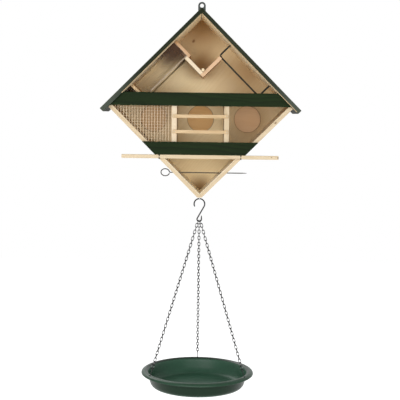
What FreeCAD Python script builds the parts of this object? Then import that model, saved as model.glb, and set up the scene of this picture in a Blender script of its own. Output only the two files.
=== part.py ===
import FreeCAD, Part
import math
import os
import re

import Sketcher
from FreeCAD import Placement, Rotation, Vector

# A wooden bird feeder shaped like a square stood on its corner, with a dish hung under it on three chains.
# The origin is the middle of the hanging hole. X runs to the right, Y to the back and Z up.
# "depth" is measured down from the roof ridge and "front" forward from the hanging plate's middle.
# "reach" is measured square from the outer face of a roof board: p from the left one, q from the right one.

SIZES = {
    # hanging plate
    "hanger_rise": 22.0,
    "plate_width": 21.0,
    "plate_thickness": 2.0,
    "plate_hole_radius": 5.5,
    "plate_drop": 64.0,
    # roof, walls and back
    "roof_length": 376.0,
    "roof_thickness": 12.0,
    "roof_depth": 170.0,
    "eave_overhang": 18.0,
    "front_overhang": 10.0,
    "wall_thickness": 11.0,
    "tip_width": 11.5,
    "back_thickness": 9.0,
    # front boards and floors
    "front_board_thickness": 10.0,
    "upper_board_rise": 20.4,
    "upper_board_height": 35.4,
    "room_height": 100.0,
    "lower_board_height": 34.5,
    "floor_thickness": 10.0,
    "upper_floor_rise": 11.9,
    # partitions and slats
    "partition_spacing": 138.8,
    "partition_thickness": 13.0,
    "slat_overhang": 4.1,
    "slat_height": 9.0,
    "slat_thickness": 6.0,
    "upper_slat_drop": 32.0,
    "lower_slat_drop": 73.0,
    # perch rail
    "perch_length": 417.0,
    "perch_size": 10.0,
    # wire mesh of the left compartment
    "mesh_pitch": 7.5,
    "mesh_wire": 1.2,
    "mesh_setback": 3.0,
    "mesh_lap": 5.0,
    "mesh_play": 0.4,
    # filling holes in the back and their swivel covers
    "fill_radius": 36.5,
    "fill_drop": 39.0,
    "fill_margin": 12.1,
    "cover_margin": 6.0,
    "cover_corner": 12.0,
    "cover_head": 8.0,
    "cover_thickness": 4.0,
    "cover_pivot_gap": 4.5,
    "cover_play": 0.3,
    "screw_shank_radius": 1.6,
    "screw_head_radius": 3.4,
    "screw_head_height": 1.8,
    "screw_grip": 8.5,
    "screw_play": 0.1,
    # V cradle under the ridge and its perch
    "cradle_thickness": 9.5,
    "cradle_left_reach": 115.0,
    "cradle_left_start": 62.0,
    "cradle_right_reach": 122.0,
    "cradle_setback": 5.0,
    "jar_perch_radius": 4.0,
    "jar_perch_length": 156.0,
    "jar_perch_play": 0.1,
    # seed silo along the left roof board
    "silo_wall_thickness": 3.0,
    "silo_gap": 13.5,
    "pane_thickness": 3.0,
    "chute_thickness": 8.0,
    "chute_length": 72.7,
    "lid_thickness": 8.0,
    "lid_lap": 6.0,
    "lid_plug": 6.0,
    "lid_play": 0.8,
    "lid_seat_play": 0.2,
    # wire bail of the suet slot along the right roof board
    "suet_wire_radius": 1.8,
    "suet_reach": 52.0,
    "suet_start": 121.0,
    "suet_length": 150.0,
    "suet_bend": 7.0,
    "suet_front": 120.0,
    "suet_hole_depth": 6.0,
    "suet_play": 0.2,
    # fruit skewer
    "skewer_radius": 1.4,
    "skewer_rise": 55.7,
    "skewer_front": 128.0,
    "skewer_ring_x": -93.0,
    "skewer_ring_radius": 11.4,
    "skewer_ring_turn": 31.0,
    "skewer_ring_gap": 0.8,
    "skewer_bend": 3.0,
    "skewer_tip_x": 127.0,
    "skewer_point_length": 14.0,
    "skewer_tip_radius": 0.2,
    "skewer_play": 0.4,
    # screw eye under the tip
    "eye_radius": 4.5,
    "eye_wire_radius": 1.0,
    "eye_neck": 1.0,
    "eye_shank_length": 9.0,
    "eye_gap": 0.5,
    "eye_play": 0.1,
    # S-shaped hook
    "hook_wire_radius": 1.5,
    "hook_upper_radius": 14.5,
    "hook_lower_radius": 6.0,
    "hook_span": 42.0,
    "hook_open_angle": 31.0,
    "hook_tip_rise": 10.0,
    "hook_play": 0.3,
    # chains
    "chain_spread": 45.0,
    "link_wire": 1.6,
    "link_inner_length": 9.8,
    "link_end_width": 5.0,
    "link_waist_width": 6.8,
    "link_play": 0.25,
    "link_seat_play": 0.6,
    # eye hooks that hold the dish at its rim
    "rim_hook_wire_radius": 0.9,
    "rim_hook_eye_radius": 3.2,
    "rim_hook_shank": 9.0,
    "rim_hook_foot": 3.0,
    "rim_hole_radius": 2.2,
    "rim_hole_inset": 8.0,
    # dish
    "dish_drop": 413.6,
    "dish_radius": 155.0,
    "dish_height": 46.0,
    "dish_wall": 3.0,
    "dish_taper": 12.0,
    "dish_lip_height": 6.5,
    "dish_rim_width": 19.5,
    "dish_rim_round": 3.0,
    "dish_corner": 9.0,
}

# Depths below the ridge that follow from the sizes: the shelves from the corner of roof and wall
DERIVED = {
    "corner_depth": "(roof_thickness + roof_length - eave_overhang - wall_thickness) / sqrt(2)",
    "upper_floor_depth": "corner_depth - upper_floor_rise",
    "upper_board_depth": "upper_floor_depth - upper_board_rise",
    "room_top_depth": "upper_floor_depth + floor_thickness",
    "lower_board_depth": "room_top_depth + room_height",
    "upper_slat_depth": "room_top_depth + upper_slat_drop",
    "lower_slat_depth": "room_top_depth + lower_slat_drop",
    "fill_depth": "room_top_depth + fill_drop",
    "skewer_depth": "sqrt(2) * (roof_length - eave_overhang - wall_thickness) - skewer_rise",
}

# Degrees between the corners of a bent wire and of a small eye, which have flat sides
BEND_STEP = 20
EYE_STEP = 36

doc = FreeCAD.newDocument("hanging_bird_feeder")
sheet = doc.addObject("Spreadsheet::Sheet", "Sizes")
for row, (alias, value) in enumerate(SIZES.items(), 1):
    sheet.set(f"A{row}", alias)
    sheet.set(f"B{row}", str(value))
    sheet.setAlias(f"B{row}", alias)
for row, (alias, formula) in enumerate(DERIVED.items(), len(SIZES) + 1):
    sheet.set(f"A{row}", alias)
    sheet.set(f"B{row}", f"={formula}")
    sheet.setAlias(f"B{row}", alias)
doc.recompute()


def linked(formula):
    """Write a formula of size names as an expression on the sheet."""
    return re.sub(r"[a-z_]+\b(?!\()", lambda name: f"Sizes.{name.group()}", str(formula))


def mm(formula):
    """Work out a formula of size names as a number."""
    return float(sheet.evalExpression(linked(formula)))


# Formulas that several pieces share
house_rear = "(plate_thickness / 2)"
roof_front = f"({house_rear} + roof_depth)"
board_front = f"({roof_front} - front_overhang)"
wall_front = f"({board_front} - front_board_thickness)"
back_front = f"({house_rear} + back_thickness)"
wall_depth = f"({wall_front} - {house_rear})"
room_depth = f"({wall_front} - {back_front})"
house_middle = f"({house_rear} + roof_depth / 2)"
cradle_front = f"({wall_front} - cradle_setback)"
wall_outer = "(roof_length - eave_overhang)"
wall_inner = f"({wall_outer} - wall_thickness)"
tip_depth = f"(sqrt(2) * {wall_outer} - tip_width / 2)"
upper_board_bottom = "(upper_board_depth + upper_board_height)"
lower_board_bottom = "(lower_board_depth + lower_board_height)"
lower_floor_depth = f"({lower_board_bottom} - floor_thickness)"
partition_outer = "(partition_spacing / 2 + partition_thickness / 2)"
partition_inner = "(partition_spacing / 2 - partition_thickness / 2)"
slat_depths = {"slat_upper": "upper_slat_depth", "slat_lower": "lower_slat_depth"}
fill_spacing = f"(sqrt(2) * ({wall_inner} - fill_radius - fill_margin) - fill_depth)"
fill_places = {"left": f"-{fill_spacing}", "middle": "0", "right": fill_spacing}
cover_pivot_depth = "(fill_depth - fill_radius - cover_pivot_gap)"
floor_line = "(sqrt(2) * upper_floor_depth)"
chute_reach = f"({floor_line} - chute_length)"
rim_hole_circle = "(dish_radius - rim_hole_inset)"

# Heights of the pieces that hang under the tip, each from the one above it
eye_z = f"(-hanger_rise - {tip_depth} - eye_neck - eye_wire_radius - eye_radius)"
hook_top_z = f"({eye_z} - eye_radius + eye_wire_radius + hook_wire_radius + hook_play)"
hook_lower_z = f"({hook_top_z} - hook_upper_radius - hook_span)"
dish_z = f"({hook_lower_z} - hook_lower_radius - dish_drop)"

# Bearing of each chain's hole in the rim, and the side of the hook's small loop that it hangs from
chain_seats = {"chain_back": (90, 0), "chain_left": (210, -1), "chain_right": (330, 1)}


def at(p, q):
    """Corner of an outline from its reach p from the left roof board and q from the right one."""
    return f"(({p}) - ({q})) / sqrt(2)", f"-hanger_rise - (({p}) + ({q})) / sqrt(2)"


def level(x, depth):
    """Corner of an outline from its place across the feeder and its depth below the ridge."""
    return f"{x}", f"-hanger_rise - ({depth})"


def mirrored(corners):
    """The same outline on the other side of the feeder's middle."""
    return [(f"-({x})", z) for x, z in corners]


def new_body(label):
    body = doc.addObject("PartDesign::Body", label)
    body.Label = label
    return body


def new_sketch(body, role, name, offset="0"):
    """Sketch on one of the body's own origin planes, moved along that plane's normal."""
    sketch = body.newObject("Sketcher::SketchObject", f"{body.Name}_{name}")
    plane = next(feature for feature in body.Origin.OriginFeatures if feature.Role == role)
    sketch.AttachmentSupport = [(plane, "")]
    sketch.MapMode = "FlatFace"
    sketch.setExpression("AttachmentOffset.Base.z", linked(offset))
    return sketch


def bind(sketch, constraint, formula):
    """Add a dimension whose value follows the sheet."""
    index = sketch.addConstraint(constraint)
    name = f"size_{index}"
    sketch.renameConstraint(index, name)
    sketch.setExpression(f"Constraints.{name}", linked(formula))


def pin(sketch, geometry, point, x, y):
    """Hold one point of the sketch at x and y from its origin."""
    for kind, formula in (("DistanceX", x), ("DistanceY", y)):
        bind(sketch, Sketcher.Constraint(kind, -1, 1, geometry, point, mm(formula)), formula)


def draw_outline(sketch, corners):
    """Closed outline of straight lines through the corners."""
    points = [Vector(mm(x), mm(y), 0) for x, y in corners]
    first = sketch.GeometryCount
    count = len(points)
    for index in range(count):
        sketch.addGeometry(Part.LineSegment(points[index], points[(index + 1) % count]), False)
    for index in range(count):
        after = (index + 1) % count
        sketch.addConstraint(Sketcher.Constraint("Coincident", first + index, 2, first + after, 1))
    for index, (x, y) in enumerate(corners):
        pin(sketch, first + index, 1, x, y)


def draw_circle(sketch, centre, radius):
    x, y = centre
    circle = Part.Circle(Vector(mm(x), mm(y), 0), Vector(0, 0, 1), mm(radius))
    index = sketch.addGeometry(circle, False)
    pin(sketch, index, 3, x, y)
    bind(sketch, Sketcher.Constraint("Radius", index, mm(radius)), radius)


def add_pad(body, sketch, length):
    pad = body.newObject("PartDesign::Pad", f"{body.Name}_pad")
    pad.Profile = sketch
    pad.setExpression("Length", linked(length))
    return pad


def add_pocket(body, sketch, name, length=None, reverse=False):
    """Cut the sketch to a given length, or right through both ways, and make sure that it cut."""
    doc.recompute()
    before = body.Shape.Volume
    pocket = body.newObject("PartDesign::Pocket", f"{body.Name}_{name}")
    pocket.Profile = sketch
    if length is None:
        pocket.Type = "ThroughAll"
        pocket.Midplane = True
    else:
        pocket.setExpression("Length", linked(length))
        pocket.Reversed = reverse
    doc.recompute()
    if body.Shape.Volume >= before:
        raise RuntimeError(f"{pocket.Name} cuts nothing")


def add_board(label, corners, rear, length, holes=()):
    """Board with the given outline, seen from the front, running forward from its rear face."""
    body = new_body(label)
    sketch = new_sketch(body, "XZ_Plane", "outline", rear)
    draw_outline(sketch, corners)
    for centre, radius in holes:
        draw_circle(sketch, centre, radius)
    add_pad(body, sketch, length)
    return body


def drill(body, name, role, holes, offset="0", length=None, reverse=False):
    """Round holes square to one of the body's origin planes."""
    sketch = new_sketch(body, role, name, offset)
    for centre, radius in holes:
        draw_circle(sketch, centre, radius)
    add_pocket(body, sketch, f"{name}_cut", length, reverse)


def add_primitive(kind, name, sizes, base=("0", "0", "0"), axis=Vector(0, 0, 1), angle="0"):
    """Part primitive whose sizes, place and turn follow the sheet."""
    solid = doc.addObject(kind, name)
    for property_name, formula in sizes.items():
        solid.setExpression(property_name, linked(formula))
    solid.Placement = Placement(Vector(), Rotation(axis, mm(angle)))
    for letter, formula in zip("xyz", base):
        solid.setExpression(f"Placement.Base.{letter}", linked(formula))
    solid.setExpression("Placement.Rotation.Angle", linked(angle))
    return solid


def add_fused(label, solids):
    fused = doc.addObject("Part::MultiFuse", label)
    fused.Label = label
    fused.Shapes = solids
    return fused


def add_group(label, solids):
    """Equal pieces kept as separate solids under one name."""
    group = doc.addObject("Part::Compound", label)
    group.Label = label
    group.Links = solids
    return group


def add_wire(label, points, flat, radius, **form):
    """Piece of wire with flat sides, as wire_solid makes it."""
    wire = doc.addObject("Part::Feature", label)
    wire.Label = label
    wire.Shape = wire_solid(points, flat, mm(radius), **form)
    return wire


def wire_solid(points, flat, radius, sides=6, closed=False, end_scale=1):
    """Wire with flat sides along straight runs, mitred where they meet, its first corner towards flat."""
    runs = [(after - point).normalize() for point, after in zip(points, points[1:] + points[:1])]
    last = len(points) - 1
    side_way = runs[0].cross(flat).normalize()
    out_way = side_way.cross(runs[0])
    turns = [2 * math.pi * (index + 0.5 * (sides == 4)) / sides for index in range(sides)]
    ring = [points[0] + (out_way * math.cos(turn) + side_way * math.sin(turn)) * radius for turn in turns]
    rings = []
    for index, point in enumerate(points):
        before = runs[index - 1] if index or closed else runs[0]
        after = runs[index] if index < last or closed else before
        plane = before + after
        way = before if index else after
        ring = [corner + way * ((point - corner).dot(plane) / way.dot(plane)) for corner in ring]
        rings.append(ring)
    if closed:
        pairs = list(zip(rings, rings[1:] + rings[:1]))
        outlines = []
    else:
        rings[-1] = [points[-1] + (corner - points[-1]) * end_scale for corner in rings[-1]]
        pairs = list(zip(rings, rings[1:]))
        outlines = [rings[0], rings[-1]]
    for ring, after in pairs:
        for index in range(sides):
            following = (index + 1) % sides
            outlines.append([ring[index], ring[following], after[following], after[index]])
    shell = Part.makeShell([Part.Face(Part.makePolygon(outline + outline[:1])) for outline in outlines])
    shell.sewShape()
    solid = Part.makeSolid(shell)
    if solid.Volume < 0:
        solid.reverse()
    return solid


def arc(centre, radius, across, up, start, end, step):
    """Points on an arc in about equal steps, with its angles in degrees from across towards up."""
    count = max(1, round(abs(end - start) / step))
    turns = [math.radians(start + (end - start) * index / count) for index in range(count + 1)]
    return [centre + across * (radius * math.cos(turn)) + up * (radius * math.sin(turn)) for turn in turns]


def build_roof():
    """Two boards that meet square at the ridge, the left one lapping over the end of the right one."""
    outlines = {
        "roof_board_left": [("0", "0"), ("roof_thickness", "0"), ("roof_thickness", "-roof_length"),
                            ("0", "-roof_length")],
        "roof_board_right": [("roof_thickness", "0"), ("roof_length", "0"), ("roof_length", "-roof_thickness"),
                             ("roof_thickness", "-roof_thickness")],
    }
    boards = {}
    for label, corners in outlines.items():
        board = add_board(label, corners, house_rear, "roof_depth")
        board.Placement = Placement(Vector(), Rotation(Vector(0, 1, 0), 45))
        board.setExpression("Placement.Base.z", linked("-hanger_rise"))
        boards[label] = board
    ends = ("suet_start", "suet_start + suet_length")
    holes = [((place, "-suet_front"), "suet_wire_radius + suet_play") for place in ends]
    drill(boards["roof_board_right"], "bail_holes", "XY_Plane", holes, "-roof_thickness", "suet_hole_depth", True)
    return list(boards.values())


def build_walls():
    """Two lower walls, mitred at the tip, which is cut off flat and holds the screw eye."""
    left = [
        at("roof_thickness", wall_outer),
        at("roof_thickness", wall_inner),
        at(wall_inner, wall_inner),
        level("0", tip_depth),
        level("-tip_width / 2", tip_depth),
    ]
    eye_hole = [(("0", f"-{house_middle}"), "eye_wire_radius + eye_play")]
    skewer_hole = [(("-skewer_front", "-hanger_rise - skewer_depth"), "skewer_radius + skewer_play")]
    walls = []
    for label, corners in (("lower_wall_left", left), ("lower_wall_right", mirrored(left))):
        wall = add_board(label, corners, house_rear, wall_depth)
        drill(wall, "skewer_hole", "YZ_Plane", skewer_hole)
        drill(wall, "eye_hole", "XY_Plane", eye_hole)
        walls.append(wall)
    return walls


def build_back():
    """Back board set between roof and walls, with a filling hole for each compartment."""
    corners = [
        at("roof_thickness", "roof_thickness"),
        at(wall_inner, "roof_thickness"),
        at(wall_inner, wall_inner),
        at("roof_thickness", wall_inner),
    ]
    holes = []
    for x in fill_places.values():
        holes.append((level(x, "fill_depth"), "fill_radius"))
        holes.append((level(x, cover_pivot_depth), "screw_shank_radius + screw_play"))
    return [add_board("back_board", corners, house_rear, "back_thickness", holes)]


def build_floors():
    """Two shelves, one between the roof boards and one between the lower walls."""
    upper = [
        level("sqrt(2) * roof_thickness - upper_floor_depth", "upper_floor_depth"),
        level("upper_floor_depth - sqrt(2) * roof_thickness", "upper_floor_depth"),
        level("room_top_depth - sqrt(2) * roof_thickness", "room_top_depth"),
        level("sqrt(2) * roof_thickness - room_top_depth", "room_top_depth"),
    ]
    lower = [
        level(f"{lower_floor_depth} - sqrt(2) * {wall_inner}", lower_floor_depth),
        level(f"sqrt(2) * {wall_inner} - {lower_floor_depth}", lower_floor_depth),
        level(f"sqrt(2) * {wall_inner} - {lower_board_bottom}", lower_board_bottom),
        level(f"{lower_board_bottom} - sqrt(2) * {wall_inner}", lower_board_bottom),
    ]
    return [
        add_board("upper_floor", upper, back_front, room_depth),
        add_board("lower_floor", lower, back_front, room_depth),
    ]


def build_front_boards():
    """Upper board cut to the roof's slopes and lower board cut flush with the walls."""
    upper = [
        level("sqrt(2) * roof_thickness - upper_board_depth", "upper_board_depth"),
        level("upper_board_depth - sqrt(2) * roof_thickness", "upper_board_depth"),
        level(f"{upper_board_bottom} - sqrt(2) * roof_thickness", upper_board_bottom),
        level(f"sqrt(2) * roof_thickness - {upper_board_bottom}", upper_board_bottom),
    ]
    lower = [
        level(f"lower_board_depth - sqrt(2) * {wall_outer}", "lower_board_depth"),
        level(f"sqrt(2) * {wall_outer} - lower_board_depth", "lower_board_depth"),
        level(f"sqrt(2) * {wall_outer} - {lower_board_bottom}", lower_board_bottom),
        level(f"{lower_board_bottom} - sqrt(2) * {wall_outer}", lower_board_bottom),
    ]
    return [
        add_board("upper_front_board", upper, wall_front, "front_board_thickness"),
        add_board("lower_front_board", lower, wall_front, "front_board_thickness"),
    ]


def build_partitions():
    """Two upright partitions between the shelves, with two slats across their front edges."""
    pieces = []
    slat_end = "(partition_spacing / 2 + slat_overhang)"
    for label, side in (("partition_left", "-1"), ("partition_right", "1")):
        corners = [
            level(f"{side} * {partition_outer}", "room_top_depth"),
            level(f"{side} * {partition_inner}", "room_top_depth"),
            level(f"{side} * {partition_inner}", lower_floor_depth),
            level(f"{side} * {partition_outer}", lower_floor_depth),
        ]
        pieces.append(add_board(label, corners, back_front, room_depth))
    for label, depth in slat_depths.items():
        corners = [
            level(f"-{slat_end}", f"{depth} - slat_height / 2"),
            level(slat_end, f"{depth} - slat_height / 2"),
            level(slat_end, f"{depth} + slat_height / 2"),
            level(f"-{slat_end}", f"{depth} + slat_height / 2"),
        ]
        pieces.append(add_board(label, corners, wall_front, "slat_thickness"))
    return pieces


def build_perch():
    """Square rail under the lower board, across the walls' front edges."""
    bottom = f"{lower_board_bottom} + perch_size"
    return [add_board("perch_rail", [
        level("-perch_length / 2", lower_board_bottom),
        level("perch_length / 2", lower_board_bottom),
        level("perch_length / 2", bottom),
        level("-perch_length / 2", bottom),
    ], wall_front, "perch_size")]


def clipped(square, limit):
    """Part of a square, given as (x, z) corners, that lies right of the slope x + z = limit."""
    kept = []
    for (x, z), (after_x, after_z) in zip(square, square[1:] + square[:1]):
        side = x + z - limit
        after_side = after_x + after_z - limit
        if side >= 0:
            kept.append((x, z))
        if side * after_side < 0:
            share = side / (side - after_side)
            kept.append((x + share * (after_x - x), z + share * (after_z - z)))
    return kept


def build_mesh():
    """Welded wire mesh as one flat sheet with a gap for each cell, cut along the slope of the left wall."""
    pitch = mm("mesh_pitch")
    gap = pitch - mm("mesh_wire")
    play = mm("mesh_play")
    smallest_gap = gap * gap / 4
    right = -mm(partition_outer) - play
    top = -mm("hanger_rise") - max(mm("room_top_depth"), mm("corner_depth")) - play
    bottom = mm("-hanger_rise - lower_board_depth - mesh_lap")
    slope = mm(f"-hanger_rise - sqrt(2) * {wall_inner}") + play * math.sqrt(2)
    edge = slope + mm("mesh_wire") * math.sqrt(2)
    front = -mm(f"{wall_front} - mesh_setback")

    def wire_loop(points):
        corners = [Vector(x, front, z) for x, z in points]
        return Part.makePolygon(corners + corners[:1])

    outline = [(right, top), (slope - top, top), (slope - bottom, bottom), (right, bottom)]
    gaps = []
    rows = int((top - bottom - mm("mesh_wire")) / pitch)
    columns = int((right - slope + top) / pitch)
    for row in range(rows):
        z = top - mm("mesh_wire") - row * pitch
        for column in range(columns):
            x = right - mm("mesh_wire") - column * pitch
            cell = clipped([(x, z), (x - gap, z), (x - gap, z - gap), (x, z - gap)], edge)
            if len(cell) > 2 and Part.Face(wire_loop(cell)).Area > smallest_gap:
                gaps.append(wire_loop(cell))
    mesh = doc.addObject("Part::Feature", "wire_mesh")
    sheet_face = Part.makeFace([wire_loop(outline)] + gaps, "Part::FaceMakerCheese")
    mesh.Shape = sheet_face.extrude(Vector(0, mm("mesh_wire"), 0))
    print("mesh gaps", len(gaps))
    return [mesh]


def build_covers():
    """Flat covers behind the filling holes, each turning on one screw above its hole."""
    pieces = []
    screws = []
    cover_rear = f"({house_rear} - cover_play - cover_thickness)"
    half = "(fill_radius + cover_margin)"
    top = f"({cover_pivot_depth} - cover_head)"
    bottom = f"(fill_depth + {half})"
    turn = {"axis": Vector(1, 0, 0), "angle": "90"}
    for name, x in fill_places.items():
        pivot = level(x, cover_pivot_depth)
        outline = [
            level(f"{x} - {half} + cover_corner", top),
            level(f"{x} + {half} - cover_corner", top),
            level(f"{x} + {half}", f"{top} + cover_corner"),
            level(f"{x} + {half}", f"{bottom} - cover_corner"),
            level(f"{x} + {half} - cover_corner", bottom),
            level(f"{x} - {half} + cover_corner", bottom),
            level(f"{x} - {half}", f"{bottom} - cover_corner"),
            level(f"{x} - {half}", f"{top} + cover_corner"),
        ]
        hole = (pivot, "screw_shank_radius + cover_play")
        pieces.append(add_board(f"fill_cover_{name}", outline, cover_rear, "cover_thickness", [hole]))
        head_front = f"({cover_rear} - cover_play)"
        head = add_primitive("Part::Prism", f"cover_screw_{name}_head", {
            "Circumradius": "screw_head_radius", "Height": "screw_head_height",
        }, (pivot[0], f"screw_head_height - {head_front}", pivot[1]), **turn)
        shank = add_primitive("Part::Prism", f"cover_screw_{name}_shank", {
            "Circumradius": "screw_shank_radius", "Height": f"{house_rear} + screw_grip - {head_front}",
        }, (pivot[0], f"-{head_front}", pivot[1]), **turn)
        screws.append(add_fused(f"cover_screw_{name}", [head, shank]))
    return pieces + [add_group("cover_screws", screws)]


def build_cradle():
    """V of two boards under the ridge that holds a jar, with a dowel to perch on lying in its corner."""
    right_arm_end = "(suet_reach + suet_wire_radius + suet_play)"
    left = [
        at("cradle_left_start", "cradle_left_reach"),
        at("cradle_right_reach", "cradle_left_reach"),
        at("cradle_right_reach", "cradle_left_reach + cradle_thickness"),
        at("cradle_left_start", "cradle_left_reach + cradle_thickness"),
    ]
    right = [
        at("cradle_right_reach", right_arm_end),
        at("cradle_right_reach + cradle_thickness", right_arm_end),
        at("cradle_right_reach + cradle_thickness", "cradle_left_reach + cradle_thickness"),
        at("cradle_right_reach", "cradle_left_reach + cradle_thickness"),
    ]
    depth = f"{cradle_front} - {back_front}"
    x, z = at("cradle_right_reach - jar_perch_radius - jar_perch_play",
              "cradle_left_reach - jar_perch_radius - jar_perch_play")
    perch = add_primitive("Part::Cylinder", "jar_perch", {
        "Radius": "jar_perch_radius", "Height": "jar_perch_length",
    }, (x, f"-{back_front}", z), Vector(1, 0, 0), "90")
    perch.Label = "jar_perch"
    return [
        add_board("cradle_arm_left", left, back_front, depth),
        add_board("cradle_arm_right", right, back_front, depth),
        perch,
    ]


def build_silo():
    """Seed silo between the left roof board and a clear wall, with a clear front, a chute and a lid."""
    wall_start = "(cradle_left_start - silo_wall_thickness)"
    wall_end = f"({chute_reach} - silo_gap)"
    chute_end = f"({chute_reach} + chute_thickness)"
    depth = f"{cradle_front} - {back_front}"
    wall = [
        at(wall_start, "cradle_left_reach"),
        at("cradle_left_start", "cradle_left_reach"),
        at("cradle_left_start", wall_end),
        at(wall_start, wall_end),
    ]
    pane = [
        at("roof_thickness", "cradle_left_reach"),
        at("cradle_left_start", "cradle_left_reach"),
        at("cradle_left_start", f"{floor_line} - cradle_left_start"),
        at("roof_thickness", f"{floor_line} - roof_thickness"),
    ]
    chute = [
        at("roof_thickness", chute_reach),
        at("chute_length", chute_reach),
        at(f"{floor_line} - {chute_end}", chute_end),
        at("roof_thickness", chute_end),
    ]
    seat = "(cradle_left_reach - lid_seat_play)"
    lid_left = "(roof_thickness + lid_play)"
    plug_right = f"({wall_start} - lid_play)"
    lid_right = "(cradle_left_start + lid_lap)"
    lid_rear = f"({back_front} + lid_play)"
    lid = add_board("silo_lid", [
        at(lid_left, f"{seat} - lid_thickness"),
        at(lid_right, f"{seat} - lid_thickness"),
        at(lid_right, seat),
        at(lid_left, seat),
    ], lid_rear, f"{cradle_front} + pane_thickness - {lid_rear}")
    plug = new_sketch(lid, "XZ_Plane", "plug", lid_rear)
    draw_outline(plug, [
        at(lid_left, seat),
        at(plug_right, seat),
        at(plug_right, f"{seat} + lid_plug"),
        at(lid_left, f"{seat} + lid_plug"),
    ])
    plug_pad = lid.newObject("PartDesign::Pad", "silo_lid_plug_pad")
    plug_pad.Profile = plug
    plug_pad.setExpression("Length", linked(f"{cradle_front} - lid_play - {lid_rear}"))
    return [
        add_board("silo_wall", wall, back_front, depth),
        add_board("silo_front_pane", pane, cradle_front, "pane_thickness"),
        add_board("silo_chute", chute, back_front, depth),
        lid,
    ]


def spot(x, front, z):
    return Vector(mm(x), -mm(front), mm(z))


def build_suet_bail():
    """U of wire let into the right roof board, which holds a block of suet under it."""
    along = Vector(1, 0, -1) / math.sqrt(2)
    out = Vector(-1, 0, -1) / math.sqrt(2)
    ridge = spot("0", "suet_front", "-hanger_rise")
    bend = mm("suet_bend")
    reach = mm("suet_reach")
    first = mm("suet_start")
    last = mm("suet_start + suet_length")
    end = mm("roof_thickness - suet_hole_depth + suet_play")

    def place(p, q):
        return ridge + along * p + out * q

    points = [place(first, end)]
    points += arc(place(first + bend, reach - bend), bend, along, out, 180, 90, BEND_STEP)
    points += arc(place(last - bend, reach - bend), bend, along, out, 90, 0, BEND_STEP)
    points.append(place(last, end))
    return [add_wire("suet_bail", points, Vector(0, 1, 0), "suet_wire_radius")]


def build_skewer():
    """Pointed wire pushed through both lower walls, with its end bent round into a ring handle."""
    height = "-hanger_rise - skewer_depth"
    across = Vector(1, 0, 0)
    turn = math.radians(mm("skewer_ring_turn"))
    up = Vector(0, -math.sin(turn), math.cos(turn))
    ring = mm("skewer_ring_radius")
    bend = mm("skewer_bend")
    ring_middle = spot("skewer_ring_x", "skewer_front", height)
    bend_offset = math.sqrt((ring + bend) ** 2 - bend ** 2)
    bend_middle = ring_middle + across * bend_offset + up * bend
    ring_start = math.degrees(math.atan2(bend, bend_offset))
    ring_end = 360 - math.degrees(math.asin(mm("2 * skewer_radius + skewer_ring_gap") / ring))
    points = arc(ring_middle, ring, across, up, ring_end, ring_start, BEND_STEP)
    points += arc(bend_middle, bend, across, up, 180 + ring_start, 270, BEND_STEP)[1:]
    points.append(spot("skewer_tip_x - skewer_point_length", "skewer_front", height))
    points.append(spot("skewer_tip_x", "skewer_front", height))
    point_scale = mm("skewer_tip_radius / skewer_radius")
    return [add_wire("skewer", points, across.cross(up), "skewer_radius", end_scale=point_scale)]


def build_hanger():
    """Steel strip with round ends on the back board, with a hanging hole above the ridge."""
    plate = new_body("hanger_plate")
    sketch = new_sketch(plate, "XZ_Plane", "outline", f"-{house_rear}")
    half = "plate_width / 2"
    top = Vector(0, 0, 0)
    bottom = Vector(0, -mm("plate_drop"), 0)
    side = Vector(mm(half), 0, 0)
    normal = Vector(0, 0, 1)
    sketch.addGeometry(Part.ArcOfCircle(Part.Circle(top, normal, mm(half)), 0, math.pi), False)
    sketch.addGeometry(Part.LineSegment(top - side, bottom - side), False)
    sketch.addGeometry(Part.ArcOfCircle(Part.Circle(bottom, normal, mm(half)), math.pi, 2 * math.pi), False)
    sketch.addGeometry(Part.LineSegment(bottom + side, top + side), False)
    for first, first_end, second, second_end in ((0, 2, 1, 1), (1, 2, 2, 1), (2, 2, 3, 1), (3, 2, 0, 1)):
        sketch.addConstraint(Sketcher.Constraint("Tangent", first, first_end, second, second_end))
    pin(sketch, 0, 3, "0", "0")
    pin(sketch, 2, 3, "0", "-plate_drop")
    bind(sketch, Sketcher.Constraint("Radius", 0, mm(half)), half)
    draw_circle(sketch, ("0", "0"), "plate_hole_radius")
    add_pad(plate, sketch, "plate_thickness")
    return [plate]


def eye_loop(middle, radius, stem, side, gap):
    """Points round an eye, from the foot of a stem that leaves it along stem to a gap beside that."""
    return arc(middle, radius, stem, side, 0, 360 - math.degrees(2 * math.asin(gap / (2 * radius))), EYE_STEP)


def build_screw_eye():
    """Wire bent round into an eye that stands fore and aft, with its shank in the mitre of the walls."""
    up = Vector(0, 0, 1)
    middle = spot("0", house_middle, eye_z)
    shank_top = middle + up * mm("eye_radius + eye_wire_radius + eye_neck + eye_shank_length")
    gap = mm("2 * eye_wire_radius + eye_gap")
    points = [shank_top] + eye_loop(middle, mm("eye_radius"), up, Vector(0, 1, 0), gap)
    return [add_wire("screw_eye", points, Vector(1, 0, 0), "eye_wire_radius")]


def build_hook():
    """S of wire: a wide loop over the screw eye, a slanting run and a small loop for the chains."""
    across = Vector(1, 0, 0)
    up = Vector(0, 0, 1)
    upper = mm("hook_upper_radius")
    lower = mm("hook_lower_radius")
    top = spot("0", house_middle, f"{hook_top_z} - hook_upper_radius")
    bottom = spot("0", house_middle, hook_lower_z)
    lean = math.degrees(math.asin((upper + lower) / mm("hook_span")))
    points = arc(top, upper, across, up, 180 + mm("hook_open_angle"), 90, BEND_STEP)
    points += arc(top, upper, across, up, 90, -lean, BEND_STEP)[1:]
    points += arc(bottom, lower, across, up, 180 - lean, 270, BEND_STEP)
    points += arc(bottom, lower, across, up, 270, 360, BEND_STEP)[1:]
    points.append(points[-1] + up * mm("hook_tip_rise"))
    return [add_wire("s_hook", points, Vector(0, 1, 0), "hook_wire_radius")]


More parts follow.
